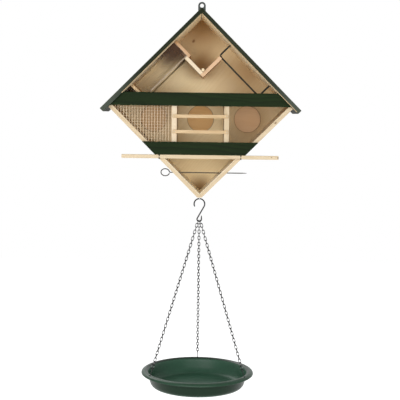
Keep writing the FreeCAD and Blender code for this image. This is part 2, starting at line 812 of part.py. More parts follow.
def chain_link():
    """One link about the origin, long in Z and wide in X: a square wire round a barrel of six flat sides."""
    waist = mm("link_waist_width") / 2
    end = mm("link_end_width") / 2
    top = mm("link_inner_length + link_wire") / 2
    loop = [(waist, 0), (end, top), (-end, top), (-waist, 0), (-end, -top), (end, -top)]
    points = [Vector(x, 0, z) for x, z in loop]
    return wire_solid(points, Vector(0, 1, 0), mm("link_wire / sqrt(2)"), sides=4, closed=True)


def build_suspension():
    """Three taut chains from the hook's small loop to eye hooks in the dish's rim."""
    link = chain_link()
    pitch = mm("link_inner_length - link_play")
    link_end = mm("(link_inner_length + link_wire) / 2")
    link_lift = mm("hook_wire_radius + link_wire / 2 + link_seat_play")
    eye_radius = mm("rim_hook_eye_radius")
    wire_radius = mm("rim_hook_wire_radius")
    loop = spot("0", house_middle, hook_lower_z)
    rim = spot("0", house_middle, dish_z)
    fore_and_aft = Vector(0, 1, 0)
    pieces = []
    hooks = []
    for label, (bearing, side) in chain_seats.items():
        seat_turn = math.radians(mm("chain_spread")) * side
        radial = Vector(math.sin(seat_turn), 0, -math.cos(seat_turn))
        seat = loop + radial * mm("hook_lower_radius")
        turn = math.radians(bearing)
        outward = Vector(math.cos(turn), math.sin(turn), 0)
        hole = rim + outward * mm(rim_hole_circle)
        tilt = (hole - seat).normalize().y
        start = seat - (radial * math.sqrt(1 - tilt * tilt) + fore_and_aft * tilt) * link_lift
        down = (hole - start).normalize()
        width = (fore_and_aft - down * down.dot(fore_and_aft)).normalize()
        other_width = down.cross(width)
        span = (hole - start).Length - mm("rim_hook_shank") - 2 * eye_radius - link_end
        count = int(span / pitch)
        links = []
        for index in range(count):
            direction = width if index % 2 == 0 else other_width
            turned = Rotation(direction, direction.cross(down), down, "ZXY")
            placed = link.copy()
            placed.Placement = Placement(start + down * (link_end + index * pitch), turned)
            links.append(placed)
        chain = doc.addObject("Part::Feature", label)
        chain.Label = label
        chain.Shape = Part.makeCompound(links)
        pieces.append(chain)
        eye_side = width if count % 2 == 0 else other_width
        last_seat = link_end + (count - 1) * pitch + mm("link_inner_length / 2 - link_play")
        eye_middle = start + down * (last_seat + eye_radius - wire_radius)
        hooks.append(rim_hook(label, eye_middle, eye_side, down, outward, hole))
    return pieces + [add_group("rim_hooks", hooks)]


def rim_hook(label, eye_middle, eye_side, down, outward, hole):
    """Eye on the last link, a shank through the hole in the rim and a foot turned in below it."""
    below = hole + down * (mm("dish_wall + link_play + rim_hook_wire_radius") / -down.z)
    gap = mm("2 * rim_hook_wire_radius + eye_gap")
    points = [below - outward * mm("rim_hook_foot"), below]
    points += eye_loop(eye_middle, mm("rim_hook_eye_radius"), down, eye_side, gap)
    return add_wire(f"rim_hook_{label}", points, outward.cross(down), "rim_hook_wire_radius")


def build_dish():
    """Turned dish: a flat floor, a flaring wall and a broad rim with a turned-down lip and three holes."""
    dish = new_body("dish")
    wall = "(dish_radius - dish_rim_width)"
    foot = f"({wall} - dish_taper)"
    corners = [
        ("0", "-dish_height"),
        (foot, "-dish_height"),
        (f"{foot} + dish_corner", "dish_corner - dish_height"),
        (wall, "-dish_wall"),
        ("dish_radius - dish_wall", "-dish_wall"),
        ("dish_radius - dish_wall", "-dish_lip_height"),
        ("dish_radius", "-dish_lip_height"),
        ("dish_radius", "-dish_rim_round"),
        ("dish_radius - dish_rim_round", "0"),
        (f"{wall} - dish_wall", "0"),
        (f"{foot} - dish_wall", "dish_wall - dish_height"),
        ("0", "dish_wall - dish_height"),
    ]
    profile = new_sketch(dish, "XZ_Plane", "profile")
    draw_outline(profile, corners)
    turned = dish.newObject("PartDesign::Revolution", "dish_turned")
    turned.Profile = profile
    turned.ReferenceAxis = (profile, ["V_Axis"])
    turned.Angle = 360
    hole = new_sketch(dish, "XY_Plane", "rim_hole")
    draw_circle(hole, ("0", rim_hole_circle), "rim_hole_radius")
    add_pocket(dish, hole, "rim_hole_cut", "2 * dish_wall")
    pattern = dish.newObject("PartDesign::PolarPattern", "dish_rim_holes")
    pattern.Originals = [doc.getObject("dish_rim_hole_cut")]
    pattern.Axis = (next(part for part in dish.Origin.OriginFeatures if part.Role == "Z_Axis"), [""])
    pattern.Angle = 360
    pattern.Occurrences = len(chain_seats)
    dish.Tip = pattern
    dish.setExpression("Placement.Base.y", linked(f"-{house_middle}"))
    dish.setExpression("Placement.Base.z", linked(dish_z))
    return [dish]


pieces = []
for build in (build_roof, build_walls, build_back, build_floors, build_front_boards, build_partitions,
              build_perch, build_mesh, build_covers, build_cradle, build_silo,
              build_suet_bail, build_skewer, build_hanger, build_screw_eye, build_hook, build_suspension,
              build_dish):
    pieces += build()
doc.recompute()

for item in doc.Objects:
    if "Invalid" in item.State or "Error" in item.State:
        raise RuntimeError(f"{item.Name} failed: {item.State}")
for piece in pieces:
    if piece.Shape.isNull() or not piece.Shape.isValid() or not piece.Shape.Solids:
        raise RuntimeError(f"{piece.Label} has no sound shape")

os.makedirs("parts", exist_ok=True)
for piece in pieces:
    piece.Shape.exportStep(f"parts/{piece.Label}.step")
print("pieces", len(pieces), "solids", sum(len(piece.Shape.Solids) for piece in pieces))
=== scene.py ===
"""Looks of a wooden bird feeder that hangs by its top corner, with a dish on chains below it.

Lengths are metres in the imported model's frame: X to the right, Y to the back, Z up, from the hanging hole.
"""
import math

import bmesh
import bpy
import numpy as np
from mathutils import Euler, Matrix, Vector


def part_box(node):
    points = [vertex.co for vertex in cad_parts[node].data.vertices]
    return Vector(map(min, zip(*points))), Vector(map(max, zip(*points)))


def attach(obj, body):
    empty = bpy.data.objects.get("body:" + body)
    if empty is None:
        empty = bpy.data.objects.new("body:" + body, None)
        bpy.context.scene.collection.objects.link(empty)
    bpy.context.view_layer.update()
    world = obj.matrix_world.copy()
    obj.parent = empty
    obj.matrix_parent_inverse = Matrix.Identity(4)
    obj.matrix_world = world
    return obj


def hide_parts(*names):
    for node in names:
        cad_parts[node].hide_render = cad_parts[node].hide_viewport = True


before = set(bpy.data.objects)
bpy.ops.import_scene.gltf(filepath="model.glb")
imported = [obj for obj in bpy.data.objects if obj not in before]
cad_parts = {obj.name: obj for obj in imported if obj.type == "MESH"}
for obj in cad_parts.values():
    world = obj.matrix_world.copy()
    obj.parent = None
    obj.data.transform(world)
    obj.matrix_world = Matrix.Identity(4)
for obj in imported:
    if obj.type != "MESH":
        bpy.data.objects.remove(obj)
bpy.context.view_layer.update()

X = np.array((1.0, 0.0, 0.0))
Y = np.array((0.0, 1.0, 0.0))
Z = np.array((0.0, 0.0, 1.0))

# How the grain of a board is turned from X
LEVEL = (0.0, 0.0, 0.0)
FALLING = (0.0, math.pi / 4, 0.0)
RISING = (0.0, -math.pi / 4, 0.0)
UPRIGHT = (0.0, math.pi / 2, 0.0)
FORE_AND_AFT = (0.0, 0.0, math.pi / 2)

RINGS_PER_METRE = 230.0
TURNING_LINES = 5200.0
SEAM = 1e-7


def tint(red, green, blue):
    """Linear colour for a colour as it looks on a screen, each part from 0 to 255."""
    parts = np.array((red, green, blue)) / 255
    linear = np.where(parts <= 0.04045, parts / 12.92, ((parts + 0.055) / 1.055) ** 2.4)
    return (*linear, 1.0)


SHADE_BROWN = tint(144, 103, 50)
KNOT = tint(104, 66, 34)
HOLE_EDGE_SHADE = tint(112, 72, 40)
PAINTED_LIGHT_PALE = tint(255, 245, 220)
BARE_WOOD = tint(238, 210, 166), tint(200, 162, 112)
PAINTED_LIGHT_UNDERSIDE = tint(255, 240, 206)
EAVE_PALE_STAIN = tint(88, 96, 86)
BROWN_DUST_AND_SHADE = tint(62, 38, 16)
FROSTED_EDGE = tint(228, 210, 186)


def grey(level):
    """Linear grey."""
    return (level, level, level, 1.0)


def cad_points(node):
    """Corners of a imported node's triangles."""
    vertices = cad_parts[node].data.vertices
    points = np.empty(3 * len(vertices))
    vertices.foreach_get("co", points)
    return points.reshape(-1, 3)


class Shade:
    """One output of a material's nodes. Arithmetic on it adds Math nodes."""

    def __init__(self, tree, socket=None):
        self.tree = tree
        self.socket = socket

    def node(self, kind, settings=None, sockets=None, output=0):
        """New node: its settings first, then the values or links of its sockets."""
        made = self.tree.nodes.new("ShaderNode" + kind)
        for key, value in (settings or {}).items():
            setattr(made, key, value)
        for key, value in (sockets or {}).items():
            if isinstance(value, Shade):
                self.tree.links.new(value.socket, made.inputs[key])
            else:
                made.inputs[key].default_value = value
        return Shade(self.tree, made.outputs[output] if made.outputs else None)

    def math(self, operation, first, second=0.0):
        return self.node("Math", {"operation": operation}, {0: first, 1: second})

    def __add__(self, other):
        return self.math("ADD", self, other)

    __radd__ = __add__

    def __sub__(self, other):
        return self.math("SUBTRACT", self, other)

    def __rsub__(self, other):
        return self.math("SUBTRACT", other, self)

    def __mul__(self, other):
        return self.math("MULTIPLY", self, other)

    __rmul__ = __mul__

    def __truediv__(self, other):
        return self.math("DIVIDE", self, other)

    def __pow__(self, other):
        return self.math("POWER", self, other)

    def __abs__(self):
        return self.math("ABSOLUTE", self)

    def fraction(self):
        return self.math("FRACT", self)

    def least(self, other):
        return self.math("MINIMUM", self, other)

    def most(self, other):
        return self.math("MAXIMUM", self, other)

    def ease(self, low, high):
        """0 below low, 1 above high, with a smooth rise between."""
        return self.node("MapRange", {"interpolation_type": "SMOOTHSTEP"}, {0: self, 1: low, 2: high})

    def blend(self, first, second):
        """First colour where this is 0, second where it is 1."""
        return self.node("Mix", {"data_type": "RGBA"}, {0: self, 6: first, 7: second}, 2)

    def parts(self):
        """The three parts of a vector."""
        made = self.node("SeparateXYZ", None, {0: self}).socket.node
        return [Shade(self.tree, socket) for socket in made.outputs]

    def noise(self, scale, shift=0.0, detail=2.0):
        """Soft noise on these coordinates, with a scale along each axis."""
        place = (shift, 1.7 * shift, 0.6 * shift)
        spread = self.node("Mapping", None, {"Vector": self, "Location": place, "Scale": scale})
        return self.node("TexNoise", None, {"Vector": spread, "Scale": 1.0, "Detail": detail})


def new_finish(name):
    """Empty material, and the Shade that its nodes are added with."""
    material = bpy.data.materials.new(name)
    material.use_nodes = True
    material.node_tree.nodes.clear()
    return material, Shade(material.node_tree)


def close_finish(material, shade, colour, roughness, height, relief, rest):
    """Principled surface with a colour, a roughness and a height that vary, and more sockets by name."""
    bump = shade.node("Bump", None, {"Height": height, "Strength": 0.6, "Distance": relief})
    sockets = {"Base Color": colour, "Roughness": roughness, "Normal": bump, **rest}
    shade.node("OutputMaterial", None, {"Surface": shade.node("BsdfPrincipled", None, sockets)})
    return material


def object_place(shade):
    return shade.node("TexCoord", output="Object")


def lie_of(node, turn):
    """Middle of a board and its half sizes along and across a grain that is turned from X."""
    axes = np.array(Euler(turn).to_matrix())
    own = cad_points(node) @ axes
    low, high = own.min(0), own.max(0)
    return axes @ ((low + high) / 2), (high - low) / 2


def sawn_grain(shade, node, turn, seed):
    """Grain of a sawn board: growth rings round a pith outside the board, which leans and wanders along it.

    The distance to the pith, in rings, has a dark late part at the end of each whole number. Fibres are noise
    drawn out along the grain, and patches are broad noise.
    """
    middle, half = lie_of(node, turn)
    place = shade.node("Mapping", {"vector_type": "TEXTURE"},
                       {"Vector": object_place(shade), "Location": middle, "Rotation": turn})
    along, deep, across = place.parts()
    sway = place.noise((6.0, 22.0, 22.0), seed)
    side = across + (0.03 + 0.02 * math.sin(seed)) + along * (0.10 * math.cos(3 * seed)) + (sway - 0.5) * 0.03
    depth = deep - (0.09 + 0.03 * math.cos(5 * seed))
    ring = ((side * side + depth * depth) ** 0.5 * RINGS_PER_METRE + sway * 0.8).fraction()
    late = ring.ease(0.35, 0.9) * (1.0 - ring.ease(0.9, 1.0))
    fibre = place.noise((26.0, 900.0, 900.0), seed, 3.0)
    patch = place.noise((5.0, 16.0, 16.0), seed + 3.1, 3.0)
    return {"along": along, "deep": deep, "across": across, "late": late, "fibre": fibre, "patch": patch,
            "half": half, "place": place}


def knot_mask(grain, knots, seed):
    """1 in the heart of each knot, given as its place along and across the board and its size."""
    ragged = grain["place"].noise((240.0, 240.0, 240.0), seed) * 0.7
    mask = None
    for along, across, size in knots:
        u = (grain["along"] - along) / (1.5 * size)
        w = (grain["across"] - across) / size
        heart = 1.0 - ((u * u + w * w) ** 0.5 + ragged).ease(0.6, 1.5)
        mask = heart if mask is None else mask.most(heart)
    return mask


def pine(node, turn, seed, pale, dark, knots=(), depth=0.30, holes=(), painted_shades=(), lit_below=None):
    """Pine, left bare: pale wood with darker late rings, fine fibres, a few knots and darker cut ends.

    Holes, given as x, z and radius, have a dark ring painted round the edge, painted shade. Painted shade, darker
    brown on the front face, has an x, a z, a radius and a strength. Below lit_below, the face on the far side across
    the grain is painted paler, painted light.
    """
    material, shade = new_finish("pine_" + node)
    grain = sawn_grain(shade, node, turn, seed)
    half = grain["half"]
    tone = grain["late"] * depth + (grain["fibre"] - 0.5) * 0.36 + (grain["patch"] - 0.5) * 0.9 + 0.30
    cut_end = (abs(grain["along"]) - half[0]).ease(-0.0003, -0.0001)
    x, _, z = object_place(shade).parts()
    colour = (tone + cut_end * 0.30).blend(pale, dark)
    front = 1.0 - grain["deep"].ease(-0.5 * half[1], 0.5 * half[1])
    # Painted shade: each patch is darker brown where other parts shade the board.
    for shade_x, shade_z, radius, strength in painted_shades:
        away = ((x - shade_x) ** 2.0 + (z - shade_z) ** 2.0) ** 0.5 + (grain["patch"] - 0.5) * 0.03
        colour = ((1.0 - away.ease(0.0, radius)) * front * strength).blend(colour, SHADE_BROWN)
    # Painted light: below lit_below the far face is painted paler, as if lit from the front.
    if lit_below is not None:
        far_face = (grain["across"] - half[2]).ease(-0.0009, -0.0005)
        painted_light = far_face * (1.0 - z.ease(lit_below - 0.005, lit_below))
        colour = (painted_light * (1.0 - tone * 0.25)).blend(colour, PAINTED_LIGHT_PALE)
    # Painted shade: a dark ring round the edge of each hole.
    for hole_x, hole_z, radius in holes:
        away = ((x - hole_x) ** 2.0 + (z - hole_z) ** 2.0) ** 0.5 - radius
        colour = ((1.0 - abs(away).ease(0.0003, 0.0018)) * 0.75).blend(colour, HOLE_EDGE_SHADE)
    if knots:
        colour = (knot_mask(grain, knots, seed) * 0.85).blend(colour, KNOT)
    height = grain["fibre"] - grain["late"] * 0.5
    return close_finish(material, shade, colour, grain["fibre"] * 0.16 + 0.52, height, 0.0004,
                        {"Specular IOR Level": 0.3})


def green_stain(node, turn, seed, pale, dark, covered=None, unlined=None, eave=0):
    """Dark green stain that the grain shows through, rubbed thin on the arrises.

    A roof board gives two lengths from its ends. Within the first pair, covered, the stain covers its underside,
    partly real stain and partly painted shade; between them the underside is bare and painted paler, painted light.
    Within the second pair, unlined, the front edge is stained right down, and between them it keeps a bare line
    along its lower arris. The outside is paler towards the eave, which is the board's far end along the grain (1)
    or its near one (-1).
    """
    material, shade = new_finish("green_stain_" + node)
    grain = sawn_grain(shade, node, turn, seed)
    half = grain["half"]
    tone = grain["late"] * 0.45 + (grain["fibre"] - 0.5) * 0.8 + (grain["patch"] - 0.5) * 0.9 + 0.32
    stain = tone.blend(pale, dark)
    near = [size - abs(grain[part]) for size, part in zip(half, ("along", "deep", "across"))]
    first = near[0].least(near[1])
    second = near[0].most(near[1])
    edge = first.most(second.least(near[2]))
    worn = grain["place"].noise((60.0, 160.0, 160.0), seed, 4.0).ease(0.56, 0.76)
    bare = (1.0 - edge.ease(0.0004, 0.0014)) * worn * 0.4
    wood = (grain["late"] * 0.25 + grain["fibre"] * 0.4).blend(*BARE_WOOD)
    if covered:
        front = 1.0 - (grain["deep"] + half[1]).ease(0.0006, 0.0014)
        under = 1.0 - (grain["across"] + half[2]).ease(0.0013, 0.0018)
        outside = 1.0 - under * (1.0 - front)
        to_eave = grain["along"] * eave
        # Paler towards the eave on the outside.
        stain = (to_eave.ease(0.1 * half[0], half[0]) * outside * 0.6).blend(stain, EAVE_PALE_STAIN)
        # Painted light: the bare underside is painted paler.
        wood = ((1.0 - outside) * 0.8).blend(wood, PAINTED_LIGHT_UNDERSIDE)
        uncovered, lined = (
            (grain["along"] + (half[0] - ends[0])).least((half[0] - ends[1]) - grain["along"]).ease(-0.0006, 0.0006)
            for ends in (covered, unlined))
        bare = bare.most(under * (1.0 - front) * uncovered)
        bare = bare.most(under * front * lined * (1.0 - (1.0 - worn) * 0.35))
    height = grain["fibre"] - grain["late"] * 0.6
    return close_finish(material, shade, bare.blend(stain, wood), grain["fibre"] * 0.2 + 0.46, height, 0.0004,
                        {"Specular IOR Level": 0.07})


def clear_sheet(name, node, turn):
    """Clear acrylic sheet: polished faces with fine scratches under a thin brown film, and frosted sawn edges.

    The film is dust in drawn-out noise, with a clean band along the sheet, a painted reflection, and it is thickest
    at the upper end, painted shade. The edge of the lower end is brown too, painted shade.
    """
    material, shade = new_finish(name)
    middle, half = lie_of(node, turn)
    place = shade.node("Mapping", {"vector_type": "TEXTURE"},
                       {"Vector": object_place(shade), "Location": middle, "Rotation": turn})
    own = place.parts()
    thin = int(np.argmin(half))
    near = [size - abs(part) for index, (size, part) in enumerate(zip(half, own)) if index != thin]
    sawn = 1.0 - near[0].least(near[1]).ease(0.0001, 0.0004)
    scratch = place.noise((900.0, 30.0, 60.0), 2.0, 4.0).ease(0.62, 0.75)
    # Painted reflection: a clean, lighter band along the sheet, where the dust is thinner.
    painted_reflection_band = 1.0 - abs(own[2] + 0.004).ease(0.003, 0.016)
    dust = place.noise((7.0, 60.0, 60.0), 4.6, 3.0).ease(0.30, 0.75) * (1.0 - painted_reflection_band * 0.8)
    # Painted shade: the film thickens towards the upper end, under the lid.
    painted_shade_top = own[0].ease(0.24 * half[0], 0.98 * half[0]) * own[2].ease(-half[2], 0.2 * half[2])
    film = dust + painted_shade_top * 3.2
    # Painted shade: the sawn edge of the lower end keeps the brown film colour.
    frosted = sawn * own[0].ease(-half[0] + 0.004, -half[0] + 0.012)
    colour = frosted.blend(BROWN_DUST_AND_SHADE, FROSTED_EDGE)
    roughness = (film * 0.10 + scratch * 0.1 + 0.06).most(sawn * 0.55)
    cover = (film * 0.28 + scratch * 0.02 + 0.03).most(sawn * 0.85)
    material.surface_render_method = "BLENDED"
    return close_finish(material, shade, colour, roughness, scratch, 0.00005,
                        {"Alpha": cover, "IOR": 1.49, "Specular IOR Level": 0.1})


def zinc(name, bright, dull, roughness, links=None):
    """Zinc on steel: cloudy spangle in two greys, with fine pits.

    A chain gives the middle of its first link, its direction and the step from link to link. Half way between the
    middles, where a link hangs in the next, the zinc is darker.
    """
    material, shade = new_finish(name)
    place = object_place(shade)
    cloud = place.noise((420.0, 420.0, 420.0), 1.0, 3.0).ease(0.3, 0.7)
    pits = place.noise((2600.0, 2600.0, 2600.0), 5.0)
    colour = cloud.blend(bright, dull)
    if links:
        first, way, step = links
        along = sum(part * float(share) for part, share in zip(place.parts(), way)) - float(first @ way)
        joint = 1.0 - abs((along / step).fraction() - 0.5) * 2.0
        colour = joint.ease(0.35, 0.70).blend(colour, grey(0.008))
    return close_finish(material, shade, colour, cloud * 0.18 + roughness, pits, 0.00008, {"Metallic": 1.0})


def dark_metal(name, colour, worn, roughness):
    """Dark coated steel with a cloudy sheen and small rubbed places."""
    material, shade = new_finish(name)
    place = object_place(shade)
    cloud = place.noise((160.0, 160.0, 160.0), 2.0, 3.0)
    rubbed = place.noise((900.0, 900.0, 900.0), 7.0, 3.0).ease(0.62, 0.76) * 0.6
    grains = place.noise((3000.0, 3000.0, 3000.0), 3.0)
    return close_finish(material, shade, rubbed.blend(colour, worn), cloud * 0.2 + roughness, grains, 0.00006,
                        {"Metallic": 0.35})


def moulded_green():
    """Dark green moulded plastic: satin, with faint turning lines round the axis and light scuffs.

    The inside is paler, with dust and painted light. The rim is paler than the outside of the wall, a painted
    highlight, and the wall is darker just under the rim, painted shade.
    """
    material, shade = new_finish("green_plastic")
    low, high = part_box("dish")
    middle = ((low + high) / 2).to_tuple()
    place = shade.node("Mapping", {"vector_type": "TEXTURE"}, {"Vector": object_place(shade), "Location": middle})
    x, y, z = place.parts()
    radius = (x * x + y * y) ** 0.5
    ripple = (radius - z * 0.6) * TURNING_LINES
    lines = ripple.math("SINE", ripple)
    pores = place.noise((1500.0, 1500.0, 1500.0), 1.0)
    cloud = place.noise((22.0, 22.0, 60.0), 3.0, 3.0)
    scuff = place.noise((70.0, 70.0, 700.0), 6.0, 4.0).ease(0.60, 0.74)
    floor = middle[2] - low[2]
    # Dust and painted light: the inside is paler.
    dust_and_painted_light = (1.0 - (radius - z * 0.27).ease(0.131, 0.133)) * z.ease(0.0012 - floor, 0.0028 - floor)
    tone = cloud * 0.7 + scuff * 0.25
    rim = z.ease(0.008, 0.018)
    wall_green = tone.blend(tint(15, 38, 23), tint(25, 50, 34))
    # Painted highlight: the rim's green is paler.
    rim_painted_highlight_green = tone.blend(tint(30, 60, 42), tint(42, 73, 55))
    inside_dust_and_light_green = tone.blend(tint(42, 76, 58), tint(61, 97, 78))
    # Painted shade: the wall is darker just under the rim.
    painted_shade_under_rim = z.ease(0.002, 0.0155) * (1.0 - radius.ease(0.1425, 0.147)) * 0.7
    outside = painted_shade_under_rim.blend(rim.blend(wall_green, rim_painted_highlight_green), tint(9, 22, 13))
    colour = dust_and_painted_light.blend(outside, inside_dust_and_light_green)
    return close_finish(material, shade, colour, cloud * 0.12 + scuff * 0.12 + 0.28, pores + lines * 0.12, 0.00008,
                        {"Specular IOR Level": 0.15, "Coat Weight": rim * 0.12, "Coat Roughness": 0.3})


def skin(grid, closed_rows=False, capped=False):
    """Points and faces of a grid of points whose rows are rings. The last row may join the first, or both be capped."""
    rows, columns = grid.shape[:2]
    index = np.arange(rows * columns).reshape(rows, columns)
    ends = [index[0, ::-1].tolist(), index[-1].tolist()] if capped else []
    index = np.hstack((index, index[:, :1]))
    if closed_rows:
        index = np.vstack((index, index[:1]))
    corners = (index[:-1, :-1], index[:-1, 1:], index[1:, 1:], index[1:, :-1])
    return grid.reshape(-1, 3), np.stack(corners, -1).reshape(-1, 4).tolist() + ends


def copies(grid, places):
    """Points and faces of one closed grid set at many places, each a whole grid of points."""
    points, faces = skin(grid, True)
    steps = np.arange(len(places)) * len(points)
    return places.reshape(-1, 3), (np.array(faces)[None] + steps[:, None, None]).reshape(-1, 4).tolist()


def put(name, skins, material, body, stands_for=(), crease=40.0):
    """Piece from several skins, merged at seams and poles, facing outwards, that rides on a body."""
    offsets = np.cumsum([0] + [len(points) for points, _ in skins])
    points = np.concatenate([points for points, _ in skins])
    faces = [[corner + offset for corner in face] for (_, some), offset in zip(skins, offsets) for face in some]
    mesh = bpy.data.meshes.new(name)
    mesh.from_pydata(points.tolist(), [], faces)
    work = bmesh.new()
    work.from_mesh(mesh)
    bmesh.ops.remove_doubles(work, verts=work.verts, dist=SEAM)
    bmesh.ops.dissolve_degenerate(work, edges=work.edges, dist=SEAM)
    bmesh.ops.recalc_face_normals(work, faces=work.faces)
    if work.calc_volume(signed=True) < 0:
        bmesh.ops.reverse_faces(work, faces=work.faces)
    work.to_mesh(mesh)
    work.free()
    mesh.shade_smooth()
    mesh.set_sharp_from_angle(angle=math.radians(crease))
    mesh.materials.append(material)
    piece = bpy.data.objects.new(name, mesh)
    bpy.context.scene.collection.objects.link(piece)
    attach(piece, body)
    if stands_for:
        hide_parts(*stands_for)
    return piece


def bow(middle, radius, across, up, start, end, count):
    """Arc: middle plus radius times cosine along across and sine along up, between two angles in degrees."""
    turn = np.radians(np.linspace(start, end, count))[:, None]
    return middle + radius * (np.cos(turn) * across + np.sin(turn) * up)


def wire(path, radius, side, sides):
    """Round wire: a circle carried along a path, with its zero turned towards side; the radius may change."""
    ahead = np.gradient(path, axis=0)
    ahead = ahead / np.linalg.norm(ahead, axis=1, keepdims=True)
    out = side - ahead * (ahead @ side)[:, None]
    out = out / np.linalg.norm(out, axis=1, keepdims=True)
    over = np.cross(ahead, out)
    turn = np.linspace(0, 2 * math.pi, sides, endpoint=False)
    ring = np.cos(turn)[:, None] * out[:, None] + np.sin(turn)[:, None] * over[:, None]
    grid = path[:, None] + ring * np.broadcast_to(radius, len(path))[:, None, None]
    return skin(grid, capped=True)


def eased_profile(corners, steps=6):
    """Profile with each corner, given as radius, height and cut, replaced by a parabola that starts a cut away."""
    corners = np.array(corners, float)
    spots, cuts = corners[:, :2], corners[:, 2:]
    before = np.vstack((spots[:1], spots[:-1])) - spots
    after = np.vstack((spots[1:], spots[-1:])) - spots
    start = spots + before * cuts / np.maximum(np.linalg.norm(before, axis=1, keepdims=True), 1e-9)
    end = spots + after * cuts / np.maximum(np.linalg.norm(after, axis=1, keepdims=True), 1e-9)
    t = np.linspace(0, 1, steps)[None, :, None]
    curve = (1 - t) ** 2 * start[:, None] + 2 * t * (1 - t) * spots[:, None] + t ** 2 * end[:, None]
    return curve.reshape(-1, 2)


def turned(profile, middle, axis, steps):
    """Turned form: each radius of the profile swept from X round the axis, Y or Z, at its height along it."""
    turn = np.linspace(0, 2 * math.pi, steps, endpoint=False)
    round_axis = np.cos(turn)[:, None] * X + np.sin(turn)[:, None] * np.cross(axis, X)
    return skin(middle + profile[:, :1, None] * round_axis + profile[:, 1:, None] * axis)


def ease_arrises(node, width):
    """Takes the sharp arrises off a sawn board with a bevel on its merged faces."""
    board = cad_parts[node]
    merged = board.modifiers.new("merged", "WELD")
    merged.merge_threshold = 1e-5
    whole = board.modifiers.new("whole", "DECIMATE")
    whole.decimate_type = "DISSOLVE"
    whole.angle_limit = math.radians(1)
    eased = board.modifiers.new("eased", "BEVEL")
    eased.width = width
    eased.segments = 2
    eased.limit_method = "ANGLE"
    eased.angle_limit = math.radians(30)
    flat = board.modifiers.new("flat", "WEIGHTED_NORMAL")
    flat.weight = 100


def finish_node(node, material):
    """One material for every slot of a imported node."""
    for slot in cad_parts[node].material_slots:
        slot.material = material


def corners_of(node):
    """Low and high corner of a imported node's box."""
    return [np.array(corner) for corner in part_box(node)]


# Filling holes in the back, and the screws that their covers turn on
FILL_X = (-0.13105, 0.0, 0.13105)
FILL_Z = -0.31295
FILL_RADIUS = 0.0365
PIVOT_Z = -0.27195

# Height of the lower shelf, below which the walls' inner faces are open to the front and are painted paler, painted
# light
SHELF_Z = -0.41

# Bare boards: grain direction, seed, pale and dark colour, and what else is seen on them
FRESH = (tint(220, 202, 171), tint(192, 166, 128))
PALEST = (tint(231, 215, 188), tint(208, 182, 146))
HONEY = (tint(216, 190, 150), tint(186, 154, 110))
WARM = (tint(230, 202, 158), tint(190, 150, 102))
BACK = (tint(249, 231, 190), tint(225, 198, 145))
PINKISH = (tint(212, 178, 140), tint(176, 132, 94))
ROSY = (tint(224, 190, 154), tint(194, 154, 116))
# The left cover is darker, partly its own tone and partly painted shade behind the mesh.
PLY_LEFT_SHADED = (tint(214, 178, 130), tint(182, 140, 92))
PLY_MIDDLE = (tint(240, 198, 136), tint(212, 162, 100))
PLY_RIGHT = (tint(224, 188, 146), tint(194, 152, 108))
PLY_RINGS = 0.12
boards = {
    "lower_wall_left": (FALLING, 1.0, FRESH, {"lit_below": SHELF_Z}),
    "lower_wall_right": (RISING, 2.1, FRESH, {"lit_below": SHELF_Z, "knots": [(0.1126, 0.0, 0.0028)]}),
    "back_board": (RISING, 3.4, BACK, {
        "knots": [(0.110, 0.141, 0.0045)],
        "depth": 0.15,
        "holes": [(x, FILL_Z, FILL_RADIUS) for x in FILL_X],
        # Painted shade at the apex, in the V's corner, by the bail, behind the mesh, in the right compartment and the
        # lower tip
        "painted_shades": [(0.0, -0.040, 0.18, 1.0), (0.0, -0.165, 0.065, 0.9), (0.13, -0.18, 0.13, 0.8),
                   (-0.13, -0.30, 0.13, 0.6), (0.14, -0.32, 0.11, 0.85), (0.0, -0.512, 0.055, 0.9)],
    }),
    "upper_floor": (LEVEL, 4.2, WARM, {}),
    "lower_floor": (LEVEL, 5.3, WARM, {}),
    "partition_left": (UPRIGHT, 6.5, PALEST, {}),
    "partition_right": (UPRIGHT, 7.7, FRESH, {}),
    "slat_upper": (LEVEL, 8.1, HONEY, {}),
    "slat_lower": (LEVEL, 9.6, HONEY, {}),
    "perch_rail": (LEVEL, 10.4, FRESH, {"knots": [(0.190, 0.001, 0.0014), (0.2078, 0.0, 0.0028)]}),
    "cradle_arm_left": (FALLING, 11.9, PALEST, {}),
    "cradle_arm_right": (RISING, 12.3, ROSY, {}),
    "silo_chute": (RISING, 13.8, WARM, {}),
    # Painted shade where the roof shades the lid.
    "silo_lid": (FALLING, 14.6, PINKISH, {"painted_shades": [(-0.067, -0.107, 0.032, 0.8)]}),
    "fill_cover_left": (LEVEL, 15.2, PLY_LEFT_SHADED, {"depth": PLY_RINGS}),
    "fill_cover_middle": (LEVEL, 16.9, PLY_MIDDLE, {"depth": PLY_RINGS}),
    "fill_cover_right": (LEVEL, 17.5, PLY_RIGHT, {"depth": PLY_RINGS}),
}
for board, (turn, seed, shades, marks) in boards.items():
    finish_node(board, pine(board, turn, seed, *shades, **marks))
    ease_arrises(board, 0.0006)

# Stained boards: grain direction, seed, pale and dark colour, and where a roof board is bare, stained underneath or
# paler
FRONT_GREEN = (tint(26, 41, 16), tint(15, 25, 9))
LEFT_GREEN = (tint(38, 44, 27), tint(23, 28, 16))
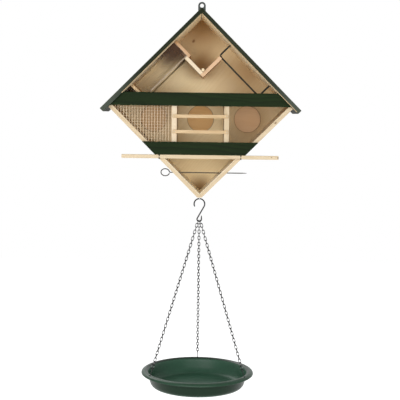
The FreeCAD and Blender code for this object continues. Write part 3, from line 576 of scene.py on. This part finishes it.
# The right roof board's green is lighter and greyer than the left's, a painted sheen.
RIGHT_GREEN_SHEEN = (tint(46, 51, 37), tint(30, 35, 24))
stained = {
    "roof_board_left": (RISING, 1.7, LEFT_GREEN, {
        # Near the eave the stained underside is partly painted shade.
        "covered": (0.070, 0.0135),
        "unlined": (0.070, 0.0135),
        "eave": -1,
    }),
    "roof_board_right": (FALLING, 2.9, RIGHT_GREEN_SHEEN, {
        # Near the eave the stained underside is partly painted shade.
        "covered": (-0.002, 0.067),
        "unlined": (-0.002, 0.006),
        "eave": 1,
    }),
    "upper_front_board": (LEVEL, 4.4, FRONT_GREEN, {}),
    "lower_front_board": (LEVEL, 6.1, FRONT_GREEN, {}),
}
for board, (turn, seed, shades, marks) in stained.items():
    finish_node(board, green_stain(board, turn, seed, *shades, **marks))
    ease_arrises(board, 0.0009)
finish_node("silo_wall", clear_sheet("clear_acrylic_wall", "silo_wall", RISING))
finish_node("silo_front_pane", clear_sheet("clear_acrylic_pane", "silo_front_pane", RISING))

bright_zinc = zinc("bright_zinc", (0.62, 0.63, 0.64, 1.0), (0.42, 0.43, 0.44, 1.0), 0.26)
mesh_zinc = zinc("mesh_zinc", (0.86, 0.72, 0.53, 1.0), (0.70, 0.57, 0.41, 1.0), 0.46)
skewer_steel = zinc("skewer_steel", (0.085, 0.08, 0.07, 1.0), (0.045, 0.042, 0.036, 1.0), 0.28)
nail_steel = zinc("nail_steel", (0.46, 0.44, 0.40, 1.0), (0.28, 0.27, 0.25, 1.0), 0.45)
hook_steel = dark_metal("hook_steel", tint(24, 25, 25), tint(56, 57, 57), 0.36)
bail_coat = dark_metal("bail_coat", tint(22, 22, 11), tint(44, 44, 31), 0.46)
plate_coat = dark_metal("plate_coat", tint(48, 53, 51), tint(92, 95, 92), 0.42)

finish_node("hanger_plate", plate_coat)
ease_arrises("hanger_plate", 0.0003)

# Depth of the screw eye, the hook and the dish's middle
MID_DEPTH = -0.086

# S-shaped hook: a wide loop over the screw eye, a slanting run and a small loop that holds the chains
upper, lower = 0.0145, 0.006
upper_middle = np.array((0.0, MID_DEPTH, -0.54524))
lower_middle = np.array((0.0, MID_DEPTH, -0.58724))
lean = math.degrees(math.asin((upper + lower) / (upper_middle - lower_middle)[2]))
hook_path = np.concatenate((
    bow(upper_middle, upper, X, Z, 211, -lean, 40),
    bow(lower_middle, lower, X, Z, 180 - lean, 360, 28),
    lower_middle + X * lower + Z * np.linspace(0.002, 0.010, 3)[:, None],
))
steps = np.arange(len(hook_path))
hook_radius = 0.0018 * np.minimum(1, 0.55 + 0.25 * np.minimum(steps, steps[::-1]))
put("s_hook_wire", [wire(hook_path, hook_radius, Y, 12)], hook_steel, "hook", ["s_hook"])

# Screw eye: shank up into the tip, then the wire bent round almost to a ring
eye_middle = np.array((0.0, MID_DEPTH, -0.52904))
eye_path = np.concatenate((
    eye_middle + Z * np.array((0.0155, 0.0100, 0.0060))[:, None],
    bow(eye_middle, 0.0045, Z, Y, 14, 330, 30),
))
put("screw_eye_wire", [wire(eye_path, 0.001, X, 10)], bright_zinc, "house", ["screw_eye"])

# Skewer: straight wire with a drawn point, bent at the other end into a ring
ring_middle = np.array((-0.093, -0.128, -0.45703))
ring_radius, ring_bend, ring_turn = 0.0114, 0.003, math.radians(31)
ring_up = np.array((0.0, -math.sin(ring_turn), math.cos(ring_turn)))
bend_offset = math.sqrt((ring_radius + ring_bend) ** 2 - ring_bend ** 2)
ring_start = math.degrees(math.atan2(ring_bend, bend_offset))
ring_end = 360 - math.degrees(math.asin(0.0036 / ring_radius))
bend_middle = ring_middle + X * bend_offset + ring_up * ring_bend
shaft_ends = np.array((bend_middle[0] + 0.004, 0.0, 0.113, 0.1235, 0.127))
skewer_path = np.concatenate((
    bow(ring_middle, ring_radius, X, ring_up, ring_end, ring_start, 48),
    bow(bend_middle, ring_bend, X, ring_up, 180 + ring_start, 270, 10)[1:],
    shaft_ends[:, None] * X + ring_middle * (Y + Z),
))
skewer_radius = np.full(len(skewer_path), 0.0014)
skewer_radius[-2:] = 0.0008, 0.00015
put("skewer_wire", [wire(skewer_path, skewer_radius, np.cross(X, ring_up), 10)], skewer_steel, "skewer",
    ["skewer"])

# Bail of the suet slot: a U of wire out of the right roof board and back
down_right = (X - Z) / math.sqrt(2)
down_left = (-X - Z) / math.sqrt(2)
ridge = np.array((0.0, -0.120, -0.022))
bail_reach, bail_bend = 0.052, 0.007
bail_starts = ridge + down_right * 0.121, ridge + down_right * 0.271
bail_corner = down_left * (bail_reach - bail_bend)
bail_path = np.concatenate((
    bail_starts[0] + down_left * np.linspace(0.007, 0.040, 4)[:, None],
    bow(bail_starts[0] + down_right * bail_bend + bail_corner, bail_bend, down_right, down_left, 180, 90, 14),
    bow(bail_starts[1] - down_right * bail_bend + bail_corner, bail_bend, down_right, down_left, 90, 0, 14),
    bail_starts[1] + down_left * np.linspace(0.040, 0.007, 4)[:, None],
))
put("suet_bail_wire", [wire(bail_path, 0.0023, Y, 12)], bail_coat, "house", ["suet_bail"])

# Welded mesh: upright wires in front of level ones, cut along the slope of the left wall
mesh_low, mesh_high = corners_of("wire_mesh")
mesh_pitch, mesh_wire = 0.0075, 0.0006
slope = mesh_low[0] + mesh_high[2]
upright_x = np.arange(mesh_high[0] - mesh_wire, mesh_low[0] + 0.002, -mesh_pitch)
level_z = np.arange(mesh_high[2] - mesh_wire, mesh_low[2] + mesh_wire, -mesh_pitch)
upright_top = np.full(len(upright_x), mesh_high[2])
upright_low = np.maximum(mesh_low[2], slope - upright_x)
upright_y = np.full(len(upright_x), mesh_low[1] + 0.0002)
level_left = slope - level_z
level_right = np.full(len(level_z), mesh_high[0])
level_y = np.full(len(level_z), mesh_high[1] - 0.0002)
uprights = [np.stack((upright_x, upright_y, z), 1) for z in (upright_top, upright_low)]
levels = [np.stack((x, level_y, level_z), 1) for x in (level_left, level_right)]
starts, ends = (np.concatenate(pair) for pair in zip(uprights, levels))
thick = np.repeat((1.05, 0.5), (len(upright_x), len(level_z))) * mesh_wire
mesh_skins = [wire(np.stack((start, end)), radius, Y, 6) for start, end, radius in zip(starts, ends, thick)]
put("welded_mesh", mesh_skins, mesh_zinc, "house", ["wire_mesh"])

# Chains: round wire bent to long links that stand crosswise in turn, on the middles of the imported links. Each chain
# hangs with a small twist, which it takes up over its first links.
LINKS = 44
TWIST_LINKS = 10
LINK_WIRE = 0.00095
LINK_HALF_WIDTH = 0.0031
LINK_STRAIGHT = 0.00275


def link_grid(long_way, wide_way):
    """Long link: a circle of wire round a half circle, a straight run, a half circle and a straight run."""
    turn = np.linspace(0, 2 * math.pi, 16, endpoint=False) + math.pi / 16
    out_x, out_z = np.cos(turn), np.sin(turn)
    x = LINK_HALF_WIDTH * out_x
    z = LINK_HALF_WIDTH * out_z + LINK_STRAIGHT * np.sign(out_z)
    around = np.linspace(0, 2 * math.pi, 6, endpoint=False)
    wide = x[:, None] + LINK_WIRE * np.cos(around) * out_x[:, None]
    long = z[:, None] + LINK_WIRE * np.cos(around) * out_z[:, None]
    thick = np.broadcast_to(LINK_WIRE * np.sin(around), wide.shape)
    return wide[..., None] * wide_way + long[..., None] * long_way + thick[..., None] * np.cross(long_way, wide_way)


chain_runs = {}
for chain, twist in (("chain_back", 12), ("chain_left", -17), ("chain_right", 16)):
    corners = cad_points(chain).reshape(LINKS, -1, 3)
    middles = (corners.min(1) + corners.max(1)) / 2
    middles = middles[np.argsort(-middles[:, 2])]
    down = middles[-1] - middles[0]
    down = down / np.linalg.norm(down)
    width = Y - down * down[1]
    width = width / np.linalg.norm(width)
    numbers = np.arange(LINKS)
    turns = np.radians(90 * (numbers % 2) + twist * np.minimum(numbers / TWIST_LINKS, 1))[:, None]
    ways = np.cos(turns) * width + np.sin(turns) * np.cross(down, width)
    grids = np.stack([link_grid(down, way) for way in ways]) + middles[:, None, None]
    step = float((middles[-1] - middles[0]) @ down) / (LINKS - 1)
    chain_zinc = zinc(chain + "_zinc", grey(0.16), grey(0.035), 0.24, (middles[0], down, step))
    put(chain + "_links", [copies(grids[0], grids)], chain_zinc, "hanging_dish", [chain], 80.0)
    chain_runs[chain] = middles, down, ways[-2]

# Hooks in the rim: an eye on the last link, a shank through the rim and a foot turned in below it
rim_low, rim_high = corners_of("dish")
rim_middle = np.array(((rim_low[0] + rim_high[0]) / 2, (rim_low[1] + rim_high[1]) / 2, rim_high[2]))
RIM_HOLE_REACH = 0.147
RIM_WIRE = 0.0009
RIM_EYE = 0.0032
LINK_END = LINK_HALF_WIDTH + LINK_STRAIGHT - LINK_WIRE
LINK_PLAY = 0.00025
rim_skins = []
rim_holes = []
for chain, bearing in (("chain_back", 90), ("chain_left", 210), ("chain_right", 330)):
    middles, down, width = chain_runs[chain]
    outward = np.array((math.cos(math.radians(bearing)), math.sin(math.radians(bearing)), 0.0))
    hole = rim_middle + outward * RIM_HOLE_REACH
    rim_holes.append(hole)
    eye_at = middles[-1] + down * (LINK_END - LINK_PLAY + RIM_EYE - RIM_WIRE)
    rim_skins.append(wire(bow(eye_at, RIM_EYE, down, width, 0, 345, 22), RIM_WIRE, np.cross(down, width), 8))
    below = hole + down * (0.00415 / -down[2])
    stem = np.stack((
        eye_at + down * RIM_EYE,
        hole,
        below + down * -0.0008,
        below - outward * 0.0008,
        below - outward * 0.003,
    ))
    rim_skins.append(wire(stem, RIM_WIRE, np.cross(outward, down), 8))
put("rim_hook_wires", rim_skins, hook_steel, "hanging_dish", ["rim_hooks"])

# Dish: turned profile from the middle of its underside, up the wall, round the rolled rim and down inside
foot = rim_low[2] - rim_high[2]
dish_profile = eased_profile([
    (0.0, foot + 0.0007, 0.0),
    (0.060, foot + 0.0007, 0.002),
    (0.062, foot, 0.001),
    (0.1275, foot, 0.014),
    (0.1385, -0.0055, 0.0015),
    (0.1420, -0.0034, 0.0015),
    (0.1500, -0.0038, 0.002),
    (0.1526, -0.0085, 0.001),
    (0.1550, -0.0085, 0.0011),
    (0.1550, -0.0042, 0.0030),
    (0.1485, 0.0000, 0.0045),
    (0.1425, 0.0000, 0.0014),
    (0.1362, -0.0034, 0.0035),
    (0.1248, foot + 0.0030, 0.018),
    (0.085, foot + 0.0030, 0.001),
    (0.084, foot + 0.0036, 0.001),
    (0.0, foot + 0.0036, 0.0),
])
green_plastic = moulded_green()
dish = put("dish_moulding", [turned(dish_profile, rim_middle, Z, 120)], green_plastic, "hanging_dish",
           ["dish"], 50.0)
drill_profile = np.array(((0.0, -0.008), (0.0022, -0.008), (0.0022, 0.004), (0.0, 0.004)))
drills = put("rim_drills", [turned(drill_profile, hole, Z, 22) for hole in rim_holes], green_plastic, "hanging_dish")
bored = dish.modifiers.new("bored", "BOOLEAN")
bored.operation = "DIFFERENCE"
bored.object = drills
bored.solver = "EXACT"
bpy.context.view_layer.update()
pierced = bpy.data.meshes.new_from_object(dish.evaluated_get(bpy.context.evaluated_depsgraph_get()))
dish.modifiers.remove(bored)
dish.data = pierced
bpy.data.objects.remove(drills)

# Dowel in the corner of the V, with its front end eased
dowel_low, dowel_high = corners_of("jar_perch")
dowel_radius = (dowel_high[0] - dowel_low[0]) / 2
dowel_length = dowel_high[1] - dowel_low[1]
dowel_profile = eased_profile([
    (0.0, 0.0, 0.0),
    (dowel_radius, 0.0, 0.0008),
    (dowel_radius, dowel_length, 0.0003),
    (0.0, dowel_length, 0.0),
])
dowel_front = np.array(((dowel_low[0] + dowel_high[0]) / 2, dowel_low[1], (dowel_low[2] + dowel_high[2]) / 2))
put("jar_dowel", [turned(dowel_profile, dowel_front, Y, 32)],
    pine("jar_perch", FORE_AND_AFT, 18.2, tint(246, 234, 206), tint(222, 194, 148)), "house", ["jar_perch"])

# Nail heads on the slats, staples over the perch, and the screws of the plate and the covers
nail_profile = eased_profile([
    (0.0, -0.0004, 0.0), (0.0013, -0.0004, 0.0003), (0.0013, 0.0002, 0.0001), (0.0, 0.0002, 0.0),
])
NAIL_X = 0.0694
nail_skins = []
for slat in ("slat_upper", "slat_lower"):
    low, high = corners_of(slat)
    for side in (-1, 1):
        spot = np.array((side * NAIL_X, low[1], (low[2] + high[2]) / 2))
        nail_skins.append(turned(nail_profile, spot, Y, 16))
put("slat_nail_heads", nail_skins, nail_steel, "house")

perch_low, perch_high = corners_of("perch_rail")
STAPLE_X = 0.1084
STAPLE_RADIUS = np.array((9, 15, 20, 9, 9, 20, 15, 9)) * 0.0001
staple_skins = []
for side in (-1, 1):
    x = side * STAPLE_X
    bridge = np.array((
        (x, perch_high[1] + 0.0006, perch_high[2] + 0.0003),
        (x, perch_low[1] + 0.0008, perch_high[2] + 0.0003),
        (x, perch_low[1] - 0.0002, perch_high[2] - 0.0012),
        (x, perch_low[1] + 0.0006, perch_high[2] - 0.0032),
        (x, perch_low[1] + 0.0006, perch_low[2] + 0.0032),
        (x, perch_low[1] - 0.0002, perch_low[2] + 0.0012),
        (x, perch_low[1] + 0.0008, perch_low[2] - 0.0003),
        (x, perch_high[1] + 0.0006, perch_low[2] - 0.0003),
    ))
    staple_skins.append(wire(bridge, STAPLE_RADIUS, X, 8))
put("perch_staples", staple_skins, bail_coat, "house")

screw_profile = eased_profile([
    (0.0, 0.0012, 0.0), (0.0007, 0.0012, 0.0002), (0.0011, 0.0018, 0.0003), (0.0024, 0.0014, 0.0008),
    (0.0034, 0.0004, 0.0005), (0.0034, 0.0, 0.0002), (0.0016, 0.0, 0.0), (0.0016, -0.0040, 0.0), (0.0, -0.0040, 0.0),
])
PLATE_SCREWS_Z = (-0.046, -0.064)
COVER_PLAY = 0.0003
plate_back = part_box("hanger_plate")[1][1]
plate_skins = [turned(screw_profile, np.array((0.0, plate_back, z)), Y, 24) for z in PLATE_SCREWS_Z]
put("plate_screws", plate_skins, bright_zinc, "house")
cover_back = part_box("fill_cover_left")[1][1] + COVER_PLAY
pivot_skins = [turned(screw_profile, np.array((x, cover_back, PIVOT_Z)), Y, 24) for x in FILL_X]
put("cover_pivot_screws", pivot_skins, bright_zinc, "house", ["cover_screws"])


def looked_at(shade):
    """1 for rays from the camera and for those that metal and clear sheet send on, 0 for rays that light a surface."""
    rays = shade.node("LightPath").socket.node.outputs
    seen = Shade(shade.tree, rays["Is Camera Ray"])
    for kind in ("Is Glossy Ray", "Is Transmission Ray"):
        seen = seen.most(Shade(shade.tree, rays[kind]))
    return seen


def studio():
    """Pale floor, white surroundings for what looks at them, two soft lamps in front and one behind and above."""
    floor_mesh = bpy.data.meshes.new("floor")
    reach, level = 7, -1.75
    floor_corners = [(-reach, -reach, level), (reach, -reach, level), (reach, reach, level), (-reach, reach, level)]
    floor_mesh.from_pydata(floor_corners, [], [(0, 1, 2, 3)])
    floor = bpy.data.objects.new("floor", floor_mesh)
    bpy.context.scene.collection.objects.link(floor)
    material, shade = new_finish("pale_floor")
    matt = shade.node("BsdfDiffuse", None, {"Color": grey(0.85)})
    glow = shade.node("Emission", None, {"Color": grey(1.0), "Strength": looked_at(shade) * 0.80})
    shade.node("OutputMaterial", None, {"Surface": shade.node("AddShader", None, {0: matt, 1: glow})})
    floor_mesh.materials.append(material)

    world = bpy.data.worlds.new("white_room")
    bpy.context.scene.world = world
    world.use_nodes = True
    world.node_tree.nodes.clear()
    shade = Shade(world.node_tree)
    sky = shade.node("Background", None, {"Color": grey(1.0), "Strength": looked_at(shade) * 0.70 + 0.30})
    shade.node("OutputWorld", None, {"Surface": sky})

    for name, spot, aim, power in (
        ("key", (-1.2, -3.1, 0.0), (0.0, -0.05, -0.35), 52.0),
        ("fill", (0.7, -3.2, -0.55), (0.0, -0.05, -0.42), 41.0),
        ("back", (-1.6, 2.8, 1.9), (0.0, 0.0, -0.35), 46.0),
    ):
        lamp = bpy.data.lights.new(name, "AREA")
        lamp.size = 2.0
        lamp.energy = power
        light = bpy.data.objects.new(name, lamp)
        light.location = spot
        light.rotation_euler = (Vector(aim) - Vector(spot)).to_track_quat("-Z", "Y").to_euler()
        bpy.context.scene.collection.objects.link(light)


def view_from_front():
    """Camera in front at the height of the house, tipped down and rolled a little, as the photograph was taken."""
    lens = bpy.data.cameras.new("camera")
    lens.lens = 90.0
    lens.sensor_width = 36.0
    lens.clip_end = 50.0
    camera = bpy.data.objects.new("camera", lens)
    tip, roll = math.radians(4.91), math.radians(0.75)
    aim = Euler((math.pi / 2 - tip, 0.0, 0.0)).to_matrix() @ Matrix.Rotation(roll, 3, "Z")
    camera.rotation_euler = aim.to_euler()
    camera.location = (0.0015, -2.814, -0.30)
    bpy.context.scene.collection.objects.link(camera)
    bpy.context.scene.camera = camera


studio()
view_from_front()
bpy.context.scene.view_settings.view_transform = "Standard"
